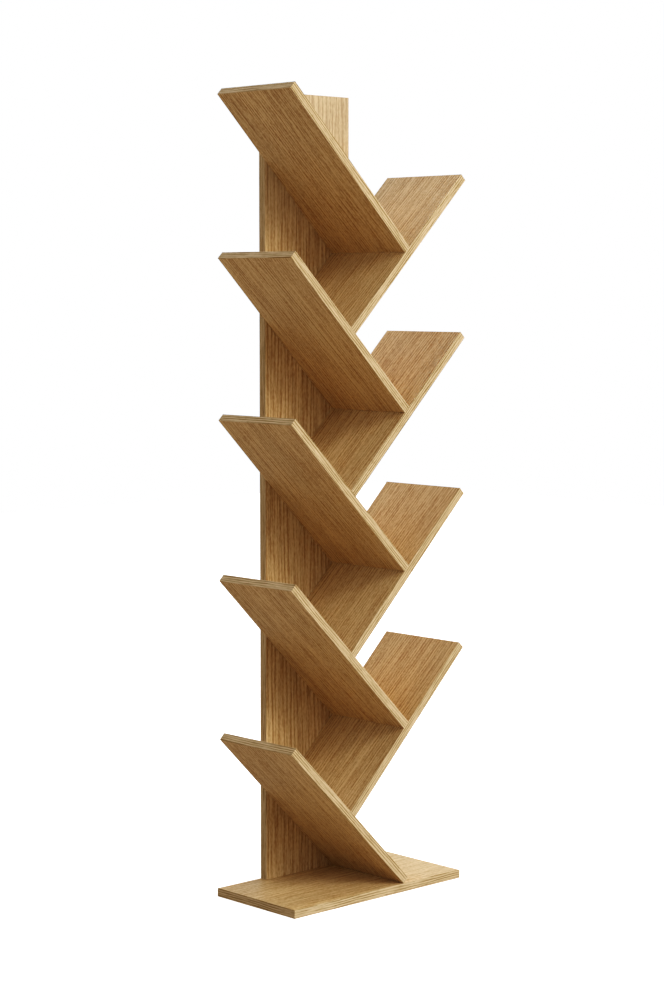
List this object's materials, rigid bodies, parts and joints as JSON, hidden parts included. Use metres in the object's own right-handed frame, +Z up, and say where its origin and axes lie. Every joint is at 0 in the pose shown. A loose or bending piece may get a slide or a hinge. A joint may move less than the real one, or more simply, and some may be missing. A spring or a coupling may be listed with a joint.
{
  "type": "tree bookshelf",
  "caption": "Free-standing tree-shaped bookshelf of oak-look board: slanted shelves zigzag up a narrow back panel on a flat base and hold books in square bays.",
  "frame": {"origin": "centre of the base's underside, on the floor", "axes": "+Z up, +Y to the back panel and the wall, +X to the right as seen from the front"},
  "size_m": [0.4136, 0.2, 1.3939],
  "materials": {
    "oak_board": "satin oak-look facing",
    "oak_edge_strip": "satin oak-look edge strip",
    "zinc_plated_steel": "zinc-plated",
    "beech": "raw"
  },
  "bodies": {
    "root": {"trunk_panel": "oak_board", "base_board": "oak_board", "left_shelf_1": "oak_board", "left_shelf_2": "oak_board", "left_shelf_3": "oak_board", "left_shelf_4": "oak_board", "left_shelf_5": "oak_board", "right_shelf_1": "oak_board", "right_shelf_2": "oak_board", "right_shelf_3": "oak_board", "right_shelf_4": "oak_board", "trunk_edge_bands": "oak_edge_strip", "base_edge_bands": "oak_edge_strip", "left_shelf_1_edge_bands": "oak_edge_strip", "left_shelf_2_edge_bands": "oak_edge_strip", "left_shelf_3_edge_bands": "oak_edge_strip", "left_shelf_4_edge_bands": "oak_edge_strip", "left_shelf_5_edge_bands": "oak_edge_strip", "right_shelf_1_edge_bands": "oak_edge_strip", "right_shelf_2_edge_bands": "oak_edge_strip", "right_shelf_3_edge_bands": "oak_edge_strip", "right_shelf_4_edge_bands": "oak_edge_strip", "trunk_shelf_screws": "zinc_plated_steel", "shelf_end_screws": "zinc_plated_steel", "base_trunk_screws": "zinc_plated_steel", "shelf_dowels": "beech"}
  },
  "joints": []
}
